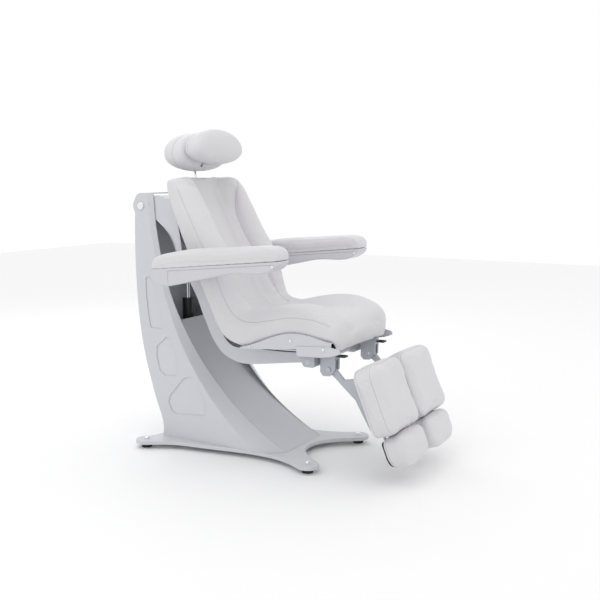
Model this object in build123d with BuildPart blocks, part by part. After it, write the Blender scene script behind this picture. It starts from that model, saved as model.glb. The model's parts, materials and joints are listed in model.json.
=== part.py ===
from build123d import *
from math import cos, hypot, radians, sin
import os

os.makedirs("parts", exist_ok=True)

# ---- driving dimensions, millimetres; the chair faces -Y and stands on Z = 0 ----
COLUMN_HALF = 210.0        # half width of the column over its side plates
PLATE = 4.0                # side plate thickness
FIT = 0.2                  # gap between the covers and the side plates
BASE_LOW, BASE_TOP = 21.0, 36.0
FOOT_R, FOOT_H = 23.0, 12.0
FRONT_FOOT = (236.0, -224.0)
REAR_FOOT = (284.0, 572.0)
LEG_TIP_R = 48.0
HEAD_TOP = 1125.0

LIFT_PIVOT = (635.0, 1068.0)      # (Y, Z) of the swing arm's pivot
LIFT_AXLE_R = 15.0
ARM_HALF = 135.0                  # half width of the swing arm
ARM_SKIN = 4.0
TILT_PIVOT = (-222.0, 457.0)      # (Y, Z) of the seat's tilt pivot
TILT_AXLE_R = 10.0
ACTUATOR_FOOT = (540.0, 240.0)
ACTUATOR_HEAD = (548.0, 905.0)
ACTUATOR_PIN_R = 6.0
EYE_PLAY = 2.5                    # radial play of the rod eye on its pin

SEAT_HALF = 250.0
SHELL_HALF = 205.0
SHELL = 4.0
VALLEY_HALF = 135.0

ARMREST_X, ARMREST_HALF = 355.0, 47.5
ARMREST_PIVOT = (400.0, 800.0)
ARMREST_AXLE_R = 10.0

LEG_PIVOT = (-305.0, 432.0)
LEG_PIN_R = 6.0
LEG_X = 187.0
LEG_BAR_HALF = 9.0
LEG_LEAN = 22.0                   # lean of the calf pads from vertical, degrees
CALF_X, CALF_W, CALF_L, CALF_T = 151.0, 292.0, 281.0, 96.0
CALF_BACK, CALF_START = 131.0, 33.0
BOARD_X = 138.0                      # middle of the calf board and its two rods
FOOT_X, FOOT_W, FOOT_L, FOOT_T = 140.0, 240.0, 132.0, 79.78
FOOT_START = 320.0
SLIDE_R = 5.0

POST_R = 6.0
POST_TOP = (496.0, 1229.0)
POST_LEAN = 14.0
HEAD_PIN_R = 3.0

RUN = 0.05                        # radial running clearance of every pivot
GAP = 0.5                         # side play beside every pivot


# ---- helpers ----
def save(part, label):
    part.label = label
    export_step(part, f"parts/{label}.step")


def prism(points, x_low, x_high, corner=0.0):
    """Straight-sided profile in (Y, Z), extruded from x_low to x_high."""
    with BuildPart() as body:
        with BuildSketch(Plane.YZ.offset(x_low)) as face:
            with BuildLine():
                Polyline(*points, close=True)
            make_face()
            if corner:
                fillet(face.vertices(), corner)
        extrude(amount=x_high - x_low)
    return body.part


def smooth_prism(outer, inner, x_low, x_high):
    """Profile in (Y, Z) between two smooth curves that run the same way."""
    with BuildPart() as body:
        with BuildSketch(Plane.YZ.offset(x_low)):
            with BuildLine():
                first = Spline(*outer)
                second = Spline(*inner)
                Line(first @ 0, second @ 0)
                Line(first @ 1, second @ 1)
            make_face()
        extrude(amount=x_high - x_low)
    return body.part


def rod_x(centre, radius, x_low, x_high, bore=0.0):
    """Round bar or tube along X, centred on (Y, Z)."""
    with BuildPart() as body:
        with BuildSketch(Plane.YZ.offset(x_low)):
            with Locations(centre):
                Circle(radius)
                if bore:
                    Circle(bore, mode=Mode.SUBTRACT)
        extrude(amount=x_high - x_low)
    return body.part


def both_sides(x_low, x_high):
    """The same X span on the right (+X) and left (-X) of the chair."""
    return ((x_low, x_high), (-x_high, -x_low))


def span(side, x_low, x_high):
    """An X span measured outward from the middle, on side +1 or -1."""
    return (x_low, x_high) if side > 0 else (-x_high, -x_low)


def beside(points, distance):
    """Points moved sideways by a distance (one number or one per point) off their path."""
    moved = []
    for i, (y, z) in enumerate(points):
        y0, z0 = points[max(i - 1, 0)]
        y1, z1 = points[min(i + 1, len(points) - 1)]
        length = hypot(y1 - y0, z1 - z0)
        d = distance[i] if isinstance(distance, (list, tuple)) else distance
        moved.append((y + d * (z1 - z0) / length, z - d * (y1 - y0) / length))
    return moved


# ---- base plate, levelling feet ----
def base_plate():
    fx, fy = FRONT_FOOT
    rx, ry = REAR_FOOT
    r = LEG_TIP_R
    ax, ay = 0.585, -0.811           # direction of a front leg
    bx, by = 0.558, 0.830            # direction of a rear leg
    with BuildPart() as plate:
        with BuildSketch(Plane.XY.offset(BASE_LOW)):
            with BuildLine():
                for s in (1, -1):
                    front_in = (s * (fx + ay * r), fy - ax * r)
                    front_tip = (s * (fx + ax * r), fy + ay * r)
                    front_out = (s * (fx - ay * r), fy + ax * r)
                    rear_out = (s * (rx + by * r), ry - bx * r)
                    rear_tip = (s * (rx + bx * r), ry + by * r)
                    rear_in = (s * (rx - by * r), ry + bx * r)
                    ThreePointArc(front_in, front_tip, front_out)
                    Spline(front_out, (s * 213, -30), (s * 217, 130), (s * 248, 340), rear_out,
                           tangents=((-s * ax, -ay), (s * bx, by)))
                    ThreePointArc(rear_out, rear_tip, rear_in)
                    Spline(rear_in, (s * 165, 566), (0, 558), tangents=((-s * bx, -by), (-s, 0)))
                    Spline((0, -105), (s * 90, -133), front_in, tangents=((s, 0), (s * ax, ay)))
            make_face()
        extrude(amount=BASE_TOP - BASE_LOW)
        fillet(plate.faces().sort_by(Axis.Z)[-1].edges(), 3)
        with BuildSketch(Plane.XY):
            with Locations(*foot_spots()):
                Circle(5.2)
        extrude(amount=60, mode=Mode.SUBTRACT)
    return plate.part


def foot_spots():
    (fx, fy), (rx, ry) = FRONT_FOOT, REAR_FOOT
    return ((fx, fy), (-fx, fy), (rx, ry), (-rx, ry))


def levelling_feet():
    with BuildPart() as feet:
        with Locations(*[Pos(x, y, FOOT_H / 2) for x, y in foot_spots()]):
            Cylinder(FOOT_R, FOOT_H)
        fillet(feet.edges().filter_by(GeomType.CIRCLE), 2.5)
    return feet.part


def levelling_bolts():
    with BuildPart() as bolts:
        with Locations(*[Pos(x, y, FOOT_H) for x, y in foot_spots()]):
            Cylinder(5, BASE_TOP - FOOT_H, align=(Align.CENTER, Align.CENTER, Align.MIN))
        with Locations(*[Pos(x, y, FOOT_H) for x, y in foot_spots()]):
            Cylinder(9, BASE_LOW - FOOT_H, align=(Align.CENTER, Align.CENTER, Align.MIN))
        with Locations(*[Pos(x, y, BASE_TOP) for x, y in foot_spots()]):
            Cylinder(11, 10, align=(Align.CENTER, Align.CENTER, Align.MIN))
        fillet(bolts.edges().filter_by(GeomType.CIRCLE).group_by(Axis.Z)[-1], 6)
    return bolts.part


# ---- column ----
# height, rear edge Y, bend Y, front edge Y, front edge X
COLUMN = (
    (BASE_TOP, 537, 28, -77, 150), (90, 534, 117, 29, 150), (150, 552, 187, 119, 150),
    (220, 579, 255, 205, 150), (300, 603, 320, 284, 153), (400, 630, 388, 360, 162),
    (500, 649, 442, 417, 175), (620, 663, 492, 470, 190), (760, 671, 538, 516, 198),
    (900, 673, 572, 550, 198), (1020, 670, 590, 568, 198), (HEAD_TOP, 668, 598, 576, 198),
)


def column_block(inset=0.0, reach=0.0):
    """The column's outer form, or its hollow: set in by inset and run reach mm out both ends."""
    with BuildPart() as block:
        for z, rear, bend, front, front_x in COLUMN:
            dx, dy = COLUMN_HALF - front_x, bend - front
            length = hypot(dx, dy)
            slope = dx / dy
            wall_x = COLUMN_HALF - inset
            wing_x = COLUMN_HALF - inset * length / dy      # inset wing line at y = bend
            bend_y = bend + (wall_x - wing_x) / slope if inset else bend
            end_x = wing_x - (dy + reach) * slope
            right = ((wall_x, rear + reach), (wall_x, bend_y), (end_x, front - reach))
            left = tuple((-x, y) for x, y in reversed(right))
            with BuildSketch(Plane.XY.offset(z)):
                with BuildLine():
                    Polyline(*right, *left, close=True)
                make_face()
        loft()
    return block.part


WINDOWS = (
    ((597, 524), (607, 582), (618, 672), (619, 753), (592, 757), (562, 690), (543, 610), (530, 527)),
    ((508, 493), (563, 445), (567, 399), (549, 332), (521, 315), (456, 319), (452, 390), (485, 488)),
    ((394, 323), (421, 310), (495, 228), (505, 195), (486, 156), (464, 145), (305, 158), (296, 210), (360, 318)),
)


def side_plate(side, outer, hollow):
    """Folded side plate with its lobe, three windows and the axle and shaft holes."""
    x_low, x_high = span(side, COLUMN_HALF - PLATE, COLUMN_HALF)
    with BuildPart() as plate:
        add(outer)
        add(hollow, mode=Mode.SUBTRACT)
        keep = 400 if side > 0 else -400
        with Locations((keep / 2, 300, 600)):
            Box(400, 1600, 1400, mode=Mode.INTERSECT)
        with BuildSketch(Plane.YZ.offset(x_low - 60)):
            with Locations((670, 1120)):
                Rectangle(76, 66)
            with Locations((632, 1087)):
                Circle(38, mode=Mode.SUBTRACT)
        extrude(amount=200, mode=Mode.SUBTRACT)
        with BuildSketch(Plane.YZ.offset(x_low)):
            with Locations(LIFT_PIVOT):
                Circle(44)
        extrude(amount=PLATE)
        for window in WINDOWS:
            with BuildSketch(Plane.YZ.offset(x_low - 1)) as hole:
                with BuildLine():
                    Polyline(*window, close=True)
                make_face()
                fillet(hole.vertices(), 11)
            extrude(amount=PLATE + 2, mode=Mode.SUBTRACT)
        with BuildSketch(Plane.YZ.offset(x_low - 1)):
            with Locations(LIFT_PIVOT):
                Circle(LIFT_AXLE_R + RUN)
        extrude(amount=PLATE + 2, mode=Mode.SUBTRACT)
    return plate.part


def window_panels(side):
    """Infill sheets behind the three windows."""
    x_low, x_high = span(side, COLUMN_HALF - PLATE - 2, COLUMN_HALF - PLATE)
    with BuildPart() as panels:
        for window in WINDOWS:
            with BuildSketch(Plane.YZ.offset(x_low)) as sheet:
                with BuildLine():
                    Polyline(*window, close=True)
                make_face()
                offset(amount=9, kind=Kind.INTERSECTION)
                fillet(sheet.vertices(), 12)
            extrude(amount=2)
    return panels.part


def between_plates(sheet, fit_block):
    """A cover cut to fit between the side plates."""
    with BuildPart() as cover:
        add(sheet)
        add(fit_block, mode=Mode.INTERSECT)
    return cover.part


def rear_cover(fit_block):
    outer = [(rear - 1, z) for z, rear, *_ in COLUMN[:-2]] + [(669, 1024), (668, 1040)]
    sheet = smooth_prism(outer, [(y - 3, z) for y, z in outer], -COLUMN_HALF, COLUMN_HALF)
    return between_plates(sheet, fit_block)


FRONT_RECESS = ((BASE_TOP, 0), (90, 2), (150, 5), (220, 16), (300, 32), (400, 48), (500, 44), (560, 38))


def front_plate(fit_block):
    """Curved front sheet: flush at the floor, set back behind the plates higher up."""
    edge = {z: front for z, _, _, front, _ in COLUMN}
    edge[560] = 445
    outer = [(edge[z] + deep, z) for z, deep in FRONT_RECESS]
    sheet = smooth_prism(outer, beside(outer, 3.0), -COLUMN_HALF, COLUMN_HALF)
    return between_plates(sheet, fit_block)


def top_cover(fit_block):
    points = ((612, 1121), (612, 1125), (640, 1125), (640, 1121))
    return between_plates(prism(points, -COLUMN_HALF, COLUMN_HALF), fit_block)


def lift_axle():
    return rod_x(LIFT_PIVOT, LIFT_AXLE_R, -COLUMN_HALF, COLUMN_HALF)


def axle_caps():
    with BuildPart() as caps:
        for x_low, x_high in both_sides(COLUMN_HALF, COLUMN_HALF + 7):
            add(rod_x(LIFT_PIVOT, 17, x_low, x_high))
        fillet(caps.faces().sort_by(Axis.X)[0].edges(), 4)
        fillet(caps.faces().sort_by(Axis.X)[-1].edges(), 4)
    return caps.part


def axle_spacers():
    with BuildPart() as spacers:
        for x_low, x_high in both_sides(ARM_HALF + GAP, COLUMN_HALF - PLATE):
            add(rod_x(LIFT_PIVOT, 22, x_low, x_high, LIFT_AXLE_R + RUN))
    return spacers.part


def actuator_shaft():
    half = COLUMN_HALF - PLATE
    return rod_x(ACTUATOR_FOOT, 8, -half, half)


# ---- lift actuator: tube hinged on the shaft, rod running out of it to the swing arm ----
def actuator_axis():
    (y0, z0), (y1, z1) = ACTUATOR_FOOT, ACTUATOR_HEAD
    length = hypot(y1 - y0, z1 - z0)
    way = (0, (y1 - y0) / length, (z1 - z0) / length)
    return Plane(origin=(0, y0, z0), x_dir=(1, 0, 0), z_dir=way), length


TUBE_END = 400.0
TUBE_MID = 24.0


def actuator_tube():
    axis, _ = actuator_axis()
    with BuildPart() as tube:
        with BuildSketch(axis.offset(TUBE_MID)):
            Circle(25)
        extrude(amount=TUBE_END - TUBE_MID)
        with BuildSketch(axis.offset(10)):
            Rectangle(28, 26)
        extrude(amount=TUBE_MID - 10)
        with BuildSketch(axis.offset(TUBE_MID + 40)):
            Circle(SLIDE_R * 2 + RUN)
        extrude(amount=TUBE_END, mode=Mode.SUBTRACT)
        add(rod_x(ACTUATOR_FOOT, 17, -14, 14))
        add(rod_x(ACTUATOR_FOOT, 8 + RUN, -20, 20), mode=Mode.SUBTRACT)
    return tube.part


def actuator_motor():
    axis, _ = actuator_axis()
    with BuildPart() as motor:
        with BuildSketch(axis.offset(TUBE_MID + 6)):
            with Locations((57, 0)):
                Circle(26)
        extrude(amount=150)
        fillet(motor.edges().filter_by(GeomType.CIRCLE), 5)
        with BuildSketch(axis.offset(TUBE_MID + 20)):
            with Locations((30, 0)):
                Rectangle(10.5, 24)
        extrude(amount=40)
        with BuildSketch(axis.offset(TUBE_MID)):
            Circle(25)
        extrude(amount=TUBE_END, mode=Mode.SUBTRACT)
    return motor.part


def actuator_rod():
    axis, length = actuator_axis()
    with BuildPart() as rod:
        with BuildSketch(axis.offset(TUBE_MID + 120)):
            Circle(SLIDE_R * 2)
        extrude(amount=length - TUBE_MID - 132)
        add(rod_x(ACTUATOR_HEAD, 18, -14, 14))
        add(rod_x(ACTUATOR_HEAD, ACTUATOR_PIN_R + EYE_PLAY, -20, 20), mode=Mode.SUBTRACT)
    return rod.part


# ---- swing arm: a folded channel, open toward the seat ----
ARM_OUTER = ((622, 1028), (590, 993), (562, 962), (539, 935), (518, 898), (502, 861), (460, 786), (417, 711),
             (386, 655), (365, 603), (344, 560), (318, 504), (292, 466), (261, 433), (213, 408), (172, 397),
             (130, 395), (70, 401), (19, 408), (-104, 425), (-212, 439))
ARM_DEPTH = (112, 112, 110, 106, 100, 95, 87, 80, 74, 68, 64, 58, 56, 57, 60, 66, 70, 66, 58, 44, 34)


HEAD_HALF = 192.0                    # half width over the cheeks on the arm's head
CHEEK = ((470, 1090), (500, 1100), (552, 1115), (592, 1112), (600, 1040), (560, 1003), (522, 974), (490, 945),
         (468, 908), (454, 872), (428, 872), (436, 930), (450, 1000))
CHEEK_ROOM = ((380, 1080), (470, 1084), (500, 1094), (552, 1109), (587, 1107), (595, 1042), (556, 1008), (518, 979),
              (485, 949), (463, 911), (450, 878), (380, 878))


def swing_arm():
    outer = list(ARM_OUTER)
    inner = beside(outer, ARM_DEPTH)
    skin = beside(outer, ARM_SKIN)
    open_edge = beside(outer, [d + 40 for d in ARM_DEPTH])
    web = ARM_HALF - ARM_SKIN
    hub_y, hub_z = LIFT_PIVOT
    with BuildPart() as arm:
        add(smooth_prism(outer, inner, -ARM_HALF, ARM_HALF))
        add(prism(((552, 1115), (592, 1112), (hub_y, hub_z + 36), (hub_y, hub_z - 30), (622, 1028),
                   (590, 993), inner[1], inner[0]), -ARM_HALF, ARM_HALF))
        add(rod_x(LIFT_PIVOT, 36, -ARM_HALF, ARM_HALF))
        add(rod_x(TILT_PIVOT, 18, -ARM_HALF, ARM_HALF))
        for side in (-1, 1):
            add(prism(CHEEK, *span(side, ARM_HALF - 2, HEAD_HALF)))
            add(prism(CHEEK_ROOM, *span(side, ARM_HALF, HEAD_HALF - ARM_SKIN)), mode=Mode.SUBTRACT)
        add(smooth_prism(skin, open_edge, -web, web), mode=Mode.SUBTRACT)
        add(prism(((490, 1070), (535, 1140), (700, 1140), (700, 1036), (628, 1038)), -web, web),
            mode=Mode.SUBTRACT)
        add(rod_x(TILT_PIVOT, 26, -web, web), mode=Mode.SUBTRACT)
        add(rod_x(LIFT_PIVOT, 28, -web - 1, web + 1))
        add(rod_x(TILT_PIVOT, 16, -web - 1, web + 1))
        for x_low, x_high in both_sides(16, 24):
            add(prism(((500, 845), (550, 889), (562, 905), (548, 921), (530, 930)), x_low, x_high))
        add(prism(((-40, 430), (-40, 436), (80, 436), (80, 430)), -web - 1, web + 1))
        add(rod_x(LIFT_PIVOT, LIFT_AXLE_R + RUN, -200, 200), mode=Mode.SUBTRACT)
        add(rod_x(TILT_PIVOT, TILT_AXLE_R + RUN, -200, 200), mode=Mode.SUBTRACT)
        add(rod_x(ACTUATOR_HEAD, ACTUATOR_PIN_R, -30, 30), mode=Mode.SUBTRACT)
    return arm.part


def lift_pin():
    return rod_x(ACTUATOR_HEAD, ACTUATOR_PIN_R, -27, 27)


def rest_block():
    return prism(((-30, 436), (-30, 494), (40, 489), (40, 436)), -55, 55)


# ---- seat: shell, plate, brackets ----
BUCKET_REAR = ((92, 492), (135, 499), (172, 516), (200, 542), (224, 575), (252, 628), (277, 680), (326, 783),
               (375, 886), (398, 935), (418, 983), (436, 1030), (450, 1076), (460, 1122), (467, 1169))
TRAY_TOP = ((-336, 548), (-319, 549), (-265, 561), (-196, 571), (-127, 567), (-55, 545), (17, 516),
            (57, 502), (92, 492))
TRAY_FLOOR = ((-336, 512), (-173, 509), (22, 490), (92, 486))


def shell_sheet():
    """The back's sheet, from the seat up to below the shoulder."""
    rear = [p for p in BUCKET_REAR if p[1] < 1010]
    return smooth_prism(rear, beside(rear, SHELL), -SHELL_HALF, SHELL_HALF)


def tray():
    inner_top = [(y, z - SHELL) for y, z in TRAY_TOP]
    wall = SEAT_HALF - SHELL
    with BuildPart() as pan:
        add(smooth_prism(TRAY_TOP, TRAY_FLOOR, -SEAT_HALF, SEAT_HALF))
        add(smooth_prism(inner_top, [(y, z - 90) for y, z in inner_top], -wall, wall), mode=Mode.SUBTRACT)
    return pan.part


def post_plane():
    lean = radians(POST_LEAN)
    return Plane(origin=(0, *POST_TOP), x_dir=(1, 0, 0), z_dir=(0, sin(lean), cos(lean)))


def bucket_shell():
    """Pressed seat tray and back sheet, with the headrest post's guide on the back."""
    with BuildPart() as shell:
        add(tray())
        add(shell_sheet())
        add(prism(((84, 488), (84, 492), (98, 492), (98, 489.5)), -SHELL_HALF, SHELL_HALF))
        with BuildSketch(post_plane().offset(-340)):
            Circle(13)
            with Locations((0, -14)):
                Rectangle(20, 34)
        extrude(amount=90)
        front = [p for p in BUCKET_REAR if p[1] > 600]
        add(smooth_prism(front, [(y - 60, z) for y, z in front], -30, 30), mode=Mode.SUBTRACT)
        with BuildSketch(post_plane().offset(-500)):
            Circle(POST_R + RUN)
        extrude(amount=480, mode=Mode.SUBTRACT)
    return shell.part


PLATE_LINE = ((0, 500), (-330, 512))


def seat_plate():
    (y0, z0), (y1, z1) = PLATE_LINE
    half = SEAT_HALF - SHELL - FIT
    return prism(((y0, z0), (y1, z1), (y1, z1 - 7), (y0, z0 - 7)), -half, half)


def tilt_bracket(side):
    """Cast box bracket that carries the seat on the tilt axle."""
    x_low, x_high = span(side, ARM_HALF + GAP, 236)
    with BuildPart() as box:
        add(prism(((-254, 501.9), (-186, 499.5), (-186, 470), (-206, 437), (-254, 437)), x_low, x_high))
        fillet(box.edges().filter_by(Axis.X).sort_by(Axis.Z)[:2], 9)
        add(rod_x(TILT_PIVOT, TILT_AXLE_R, -300, 300), mode=Mode.SUBTRACT)
    return box.part


def tilt_axle():
    return rod_x(TILT_PIVOT, TILT_AXLE_R, -236, 236)


def side_wing(side):
    """Wedge-shaped cheek on the outside of the tray, over the front bracket."""
    x_low, x_high = span(side, SEAT_HALF, SEAT_HALF + 5)
    points = ((-180, 521), (-330, 532), (-374, 524), (-379, 508), (-340, 494), (-287, 486), (-184, 482))
    return prism(points, x_low, x_high, 5)


def trim_bolts():
    with BuildPart() as bolts:
        for y, z in ((-152, 541), (42, 497)):
            for x_low, x_high in both_sides(SEAT_HALF, SEAT_HALF + 4):
                add(rod_x((y, z), 6 if z > 500 else 3.5, x_low, x_high))
        for x_low, x_high in both_sides(SEAT_HALF + 5, SEAT_HALF + 9):
            add(rod_x((-305, 520), 6, x_low, x_high))
    return bolts.part


def knuckle(side):
    """Clevis under the front of the seat that carries one leg rest."""
    x_low, x_high = span(side, LEG_X - 21, LEG_X + 21)
    face_points = ((-334, 504.8), (-266, 502.4), (-266, 418), (-279, 402), (-309, 404), (-332, 430))
    with BuildPart() as clevis:
        with BuildSketch(Plane.YZ.offset(x_low)) as face:
            with BuildLine():
                Polyline(*face_points, close=True)
            make_face()
            fillet(face.vertices().sort_by(Axis.Z)[:4], 7)
        extrude(amount=x_high - x_low)
        slot_low, slot_high = span(side, LEG_X - LEG_BAR_HALF - GAP, LEG_X + LEG_BAR_HALF + GAP)
        add(prism(((-380, 390), (-220, 390), (-220, 472), (-380, 472)), slot_low, slot_high), mode=Mode.SUBTRACT)
        add(rod_x(LEG_PIVOT, LEG_PIN_R, x_low - 9, x_high + 9), mode=Mode.SUBTRACT)
        with BuildSketch(Plane.XZ.offset(340)):
            with Locations((side * LEG_X, 487)):
                Circle(3 + RUN)
        extrude(amount=-50, mode=Mode.SUBTRACT)
    return clevis.part


def leg_pins():
    with BuildPart() as pins:
        for x_low, x_high in both_sides(LEG_X - 21, LEG_X + 21):
            add(rod_x(LEG_PIVOT, LEG_PIN_R, x_low, x_high))
        for x_low, x_high in both_sides(LEG_X + 21, LEG_X + 26):
            add(rod_x(LEG_PIVOT, 9, x_low, x_high))
    return pins.part


def release_pull(side):
    """Square finger loop on a stem that slides in the knuckle."""
    with BuildPart() as pull:
        with BuildSketch(Plane.XZ.offset(308)):
            with Locations((side * LEG_X, 487)):
                Circle(3)
        extrude(amount=32)
        with BuildSketch(Plane.XY.offset(484)):
            with Locations((side * LEG_X, -356)):
                RectangleRounded(36, 34, 5)
                RectangleRounded(26, 24, 3, mode=Mode.SUBTRACT)
        extrude(amount=6)
    return pull.part


# ---- upholstery: plain closed solids ----
SEAT_TOP = ((-357, 505), (-358, 571), (-357, 620), (-347, 633), (-318, 653), (-269, 672), (-220, 680),
            (-160, 678), (-95, 671), (-44, 660), (8, 647), (66, 640), (113, 664), (140, 706), (156, 765),
            (173, 835), (216, 908), (270, 986), (304, 1041), (336, 1096), (380, 1148), (405, 1180),
            (440, 1192), (462, 1186))
VALLEY = ((-400, 600), (-345, 612), (-300, 626), (-240, 624), (-150, 614), (-60, 606), (30, 603), (100, 608),
          (150, 627), (190, 662), (225, 720), (262, 800), (307, 885), (348, 957), (389, 1030), (426, 1095),
          (446, 1170), (446, 1230), (0, 1230), (-400, 900))


def bucket_cushion():
    """One-piece seat and back cushion with raised side bolsters."""
    rear = list(reversed(BUCKET_REAR))
    floor = [(y, z + 0.5) for y, z in reversed(TRAY_TOP)]
    outline = list(SEAT_TOP) + rear + floor[1:] + [(-336.5, 505)]
    with BuildPart() as cushion:
        add(prism(outline, -SEAT_HALF, SEAT_HALF))
        add(prism(VALLEY, -VALLEY_HALF, VALLEY_HALF), mode=Mode.SUBTRACT)
        add(smooth_prism(BUCKET_REAR, beside(BUCKET_REAR, 30), -SEAT_HALF - 1, SEAT_HALF + 1), mode=Mode.SUBTRACT)
        tray_top = [(y, z + 0.3) for y, z in TRAY_TOP]
        add(smooth_prism(tray_top, [(y, z - 60) for y, z in tray_top], -300, 300), mode=Mode.SUBTRACT)
    return cushion.part


# ---- armrests ----
REST_BOTTOM = ((434, 800), (428, 778), (402, 758), (366, 748), (334, 750), (283, 761), (207, 778), (108, 800),
               (36, 814), (-11, 818), (-81, 819), (-126, 826), (-158, 841), (-178, 860), (-182, 873))
REST_SPLIT = ((434, 816), (-182, 876))
REST_TOP = ((434, 820), (431, 846), (412, 866), (383, 876), (259, 899), (80, 912), (-104, 926), (-150, 928),
            (-176, 918), (-188, 898), (-182, 880))


def armrest_casing(side):
    x_low, x_high = span(side, ARMREST_X - ARMREST_HALF, ARMREST_X + ARMREST_HALF)
    with BuildPart() as casing:
        with BuildSketch(Plane.YZ.offset(x_low)):
            with BuildLine():
                low = Spline(*REST_BOTTOM)
                Polyline(low @ 1, (-182, 874), (434, 814), low @ 0)
            make_face()
        extrude(amount=x_high - x_low)
        fillet(casing.faces().sort_by(Axis.X)[0].edges().filter_by(GeomType.BSPLINE), 7)
        fillet(casing.faces().sort_by(Axis.X)[-1].edges().filter_by(GeomType.BSPLINE), 7)
        low, high = span(side, ARMREST_X - ARMREST_HALF - 1, ARMREST_X + 15)
        add(rod_x(ARMREST_PIVOT, ARMREST_AXLE_R + RUN, low, high), mode=Mode.SUBTRACT)
    return casing.part


def armrest_pad(side):
    x_low, x_high = span(side, ARMREST_X - ARMREST_HALF, ARMREST_X + ARMREST_HALF)
    points = [(434, 814.5)] + list(REST_TOP[1:-1]) + [(-182, 874.5)]
    return prism(points, x_low, x_high)


def armrest_bracket(side):
    """Arm from the back sheet out to the armrest's axle."""
    x_low, x_high = span(side, 182, 198)
    y, z = ARMREST_PIVOT
    with BuildPart() as bracket:
        add(prism(((300, 735), (300, 850), (y - 4, z + 18), (y + 16, z + 6), (y + 16, z - 8), (y - 6, z - 18)),
                  x_low, x_high))
        rear = [p for p in BUCKET_REAR if p[1] > 600]
        add(smooth_prism(beside(rear, SHELL + FIT), [(a - 90, b) for a, b in rear], -300, 300),
            mode=Mode.SUBTRACT)
        fillet(bracket.edges().filter_by(Axis.X).sort_by(Axis.Y)[-2:], 6)
        add(rod_x(ARMREST_PIVOT, ARMREST_AXLE_R, -300, 300), mode=Mode.SUBTRACT)
    return bracket.part


def armrest_axles():
    with BuildPart() as axles:
        for x_low, x_high in both_sides(182, ARMREST_X + 14):
            add(rod_x(ARMREST_PIVOT, ARMREST_AXLE_R, x_low, x_high))
    return axles.part


def armrest_collars():
    with BuildPart() as collars:
        for x_low, x_high in both_sides(198, ARMREST_X - ARMREST_HALF - GAP):
            add(rod_x(ARMREST_PIVOT, 15, x_low, x_high, ARMREST_AXLE_R))
    return collars.part


# ---- headrest ----
def headrest_post():
    with BuildPart() as post:
        with BuildSketch(post_plane().offset(-440)):
            Circle(POST_R)
        extrude(amount=434)
        add(rod_x(POST_TOP, 9, -9, 9))
        add(rod_x(POST_TOP, HEAD_PIN_R + RUN, -20, 20), mode=Mode.SUBTRACT)
    return post.part


def headrest_carrier():
    """Bent plate between the two pads, with ears for the tilt pin."""
    y, z = POST_TOP
    with BuildPart() as carrier:
        add(prism(((418, 1239), (y + 14, 1239), (y + 14, 1243), (422, 1243), (422, 1372), (418, 1372)), -40, 40))
        for x_low, x_high in both_sides(9 + GAP, 14):
            add(prism(((y - 10, 1240), (y - 7, z - 9), (y + 7, z - 9), (y + 10, 1240)), x_low, x_high))
        add(rod_x(POST_TOP, HEAD_PIN_R, -20, 20), mode=Mode.SUBTRACT)
    return carrier.part


def headrest_pin():
    return rod_x(POST_TOP, HEAD_PIN_R, -16, 16)


def head_pad(centre, depth, y_low, y_high, lift):
    """Half-moon pad: an oval in front view, flatter below."""
    with BuildPart() as pad:
        with BuildSketch(Plane.XZ.offset(-y_high)):
            with Locations((0, centre)):
                Ellipse(184, depth)
            with Locations((0, lift - 100)):
                Rectangle(400, 200, mode=Mode.SUBTRACT)
        extrude(amount=y_high - y_low)
    return pad.part


def head_pocket():
    """Room in the rear pad's underside for the carrier's foot and the post's head."""
    return prism(((416, 1200), (524, 1200), (524, 1247), (416, 1247)), -44, 44)


# ---- leg rests ----
def leg_plane():
    lean = radians(LEG_LEAN)
    return Plane(origin=(0, *LEG_PIVOT), x_dir=(1, 0, 0), z_dir=(0, -cos(lean), sin(lean)))


def leg_yz(out, down):
    """(Y, Z) of a point given by its distance out from the pivot and down along the pad."""
    lean = radians(LEG_LEAN)
    y = LEG_PIVOT[0] - out * cos(lean) - down * sin(lean)
    z = LEG_PIVOT[1] + out * sin(lean) - down * cos(lean)
    return (y, z)


def leg_bar(side):
    x_low, x_high = span(side, LEG_X - LEG_BAR_HALF, LEG_X + LEG_BAR_HALF)
    local = ((14, -6), (40, 60), (125, 78), (125, 283), (81, 283), (69, 202), (62, 149), (32, 91), (8, 42), (-14, 8))
    with BuildPart() as bar:
        add(prism([leg_yz(*p) for p in local], x_low, x_high))
        add(rod_x(LEG_PIVOT, 16, x_low, x_high))
        add(rod_x(LEG_PIVOT, LEG_PIN_R + RUN, x_low - 5, x_high + 5), mode=Mode.SUBTRACT)
    return bar.part


def calf_board(side):
    """Back board of the calf pad, with the block that guides the foot pad's two rods."""
    with BuildPart() as board:
        with BuildSketch(leg_plane().offset(CALF_BACK - 6)):
            with Locations((side * BOARD_X, -170)):
                RectangleRounded(190, 236, 24)
        extrude(amount=6)
        with BuildSketch(leg_plane().offset(CALF_BACK - 31)):
            with Locations((side * (BOARD_X - 2), -242)):
                Rectangle(76, 70)
        extrude(amount=26)
        add(foot_rods(side, 100, 360, SLIDE_R + RUN), mode=Mode.SUBTRACT)
    return board.part


def foot_rods(side, start, end, radius):
    lean = radians(LEG_LEAN)
    y, z = leg_yz(CALF_BACK - 19, start)
    with BuildPart() as rods:
        down = Plane(origin=(0, y, z), x_dir=(1, 0, 0), z_dir=(0, -sin(lean), -cos(lean)))
        with BuildSketch(down):
            with Locations((side * (BOARD_X - 26), 0), (side * (BOARD_X + 22), 0)):
                Circle(radius)
        extrude(amount=end - start)
    return rods.part


def calf_pad(side):
    with BuildPart() as pad:
        with BuildSketch(leg_plane().offset(CALF_BACK)):
            with Locations((side * CALF_X, -CALF_START - CALF_L / 2)):
                RectangleRounded(CALF_W, CALF_L, 45)
        extrude(amount=CALF_T)
    return pad.part


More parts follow.
